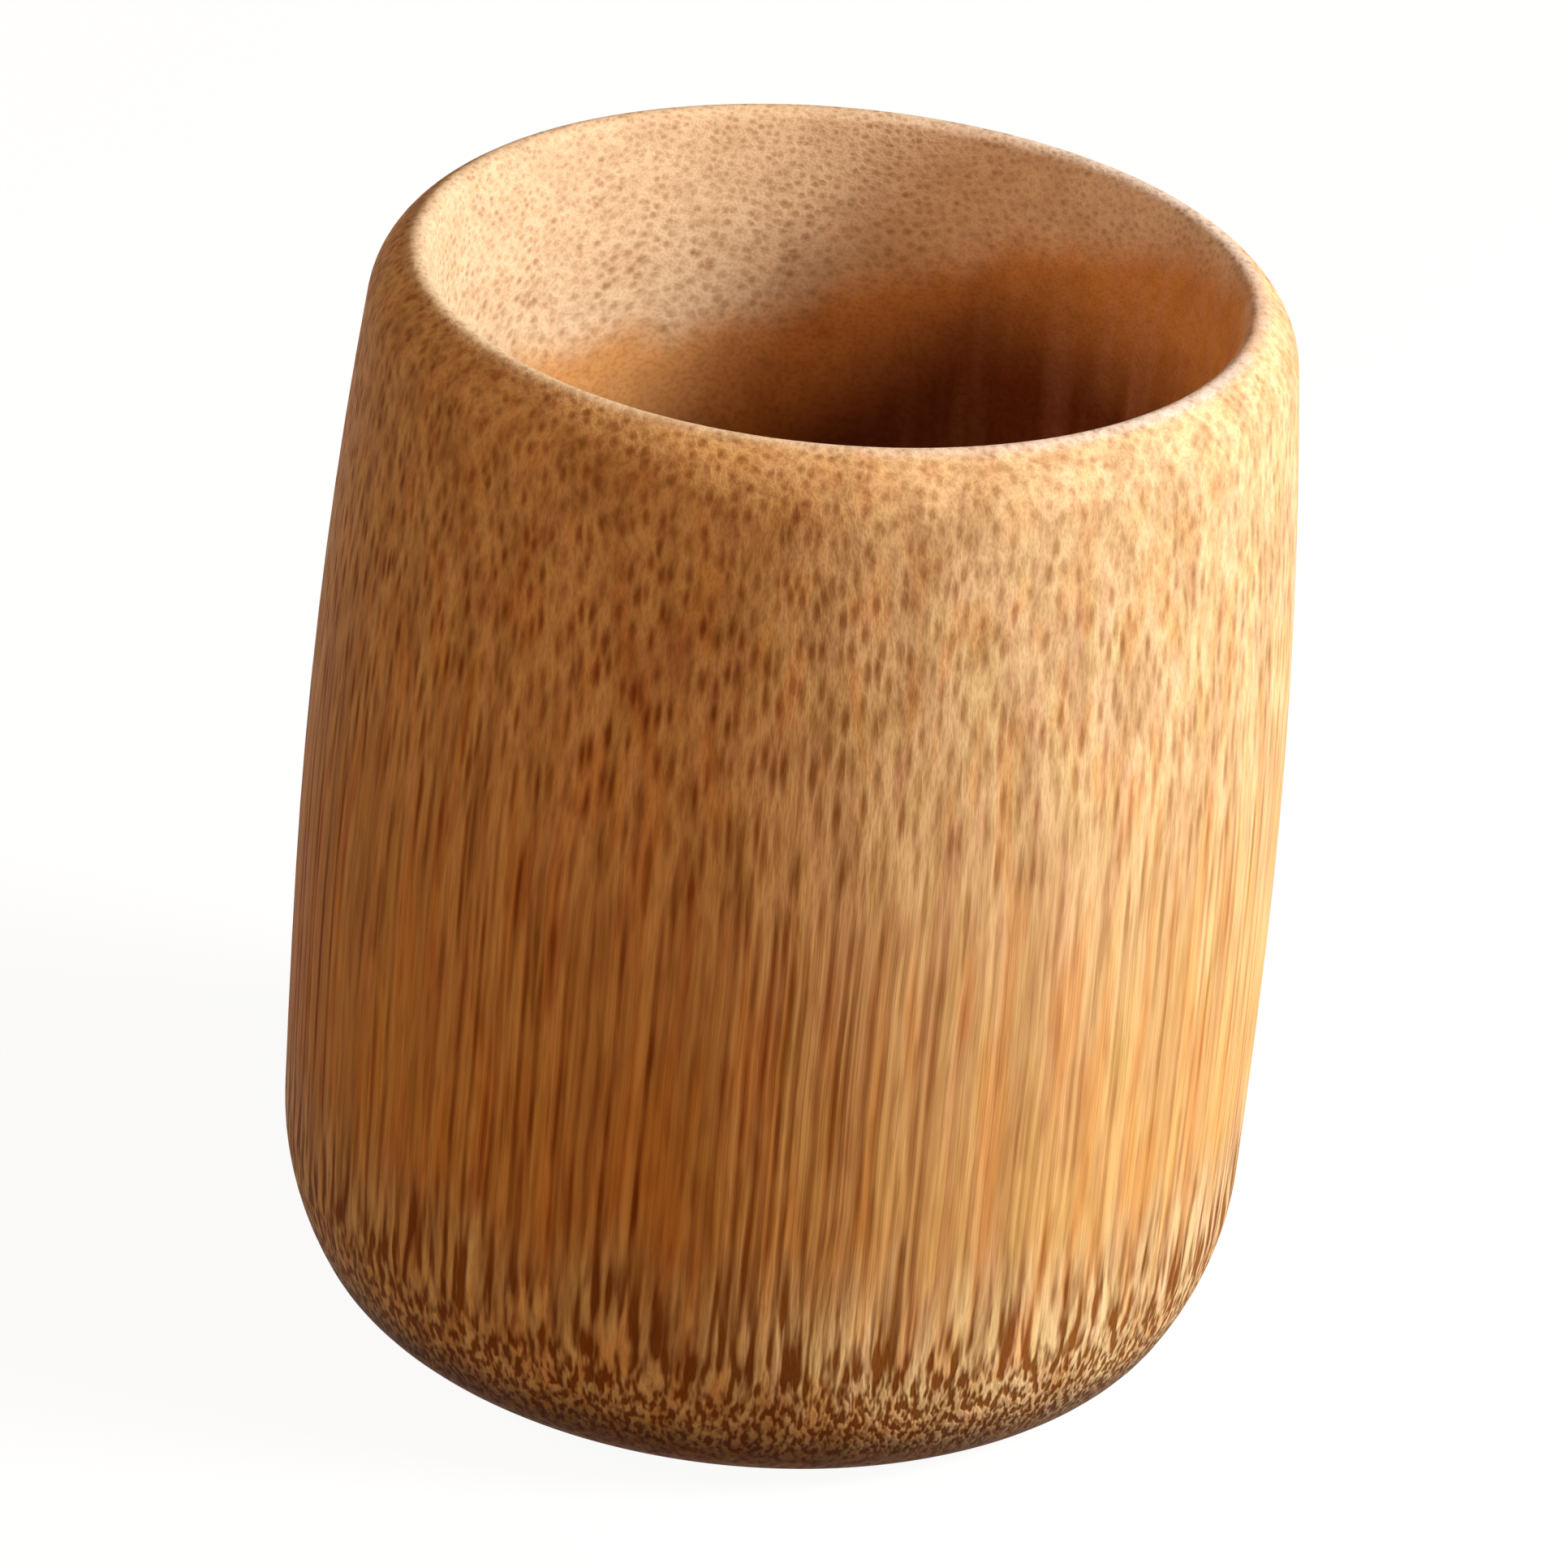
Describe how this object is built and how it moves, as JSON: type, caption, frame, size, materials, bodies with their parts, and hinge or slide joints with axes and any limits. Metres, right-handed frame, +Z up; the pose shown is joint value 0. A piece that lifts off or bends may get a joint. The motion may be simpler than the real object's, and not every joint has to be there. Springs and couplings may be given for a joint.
{
  "type": "bamboo cup",
  "caption": "Barrel-shaped drinking cup turned from thick bamboo culm, open at the top, with a rounded lip, a curved heel, a flat foot ring and the culm's node as its floor.",
  "frame": {"origin": "centre of the foot ring, on the table", "axes": "+Z up along the axis that the cup was turned on, from the foot to the lip; X and Y lie in the table's plane and are alike"},
  "size_m": [0.08, 0.08, 0.0914],
  "materials": {
    "culm_bamboo": "honey-brown heat-treated bamboo with dark fibre bundles along the culm, under a clear satin lacquer",
    "node_bamboo": "browner matted bamboo tissue of the node, under the same clear satin lacquer"
  },
  "bodies": {
    "root": {"culm_wall": "culm_bamboo", "node_diaphragm": "node_bamboo"}
  },
  "joints": []
}
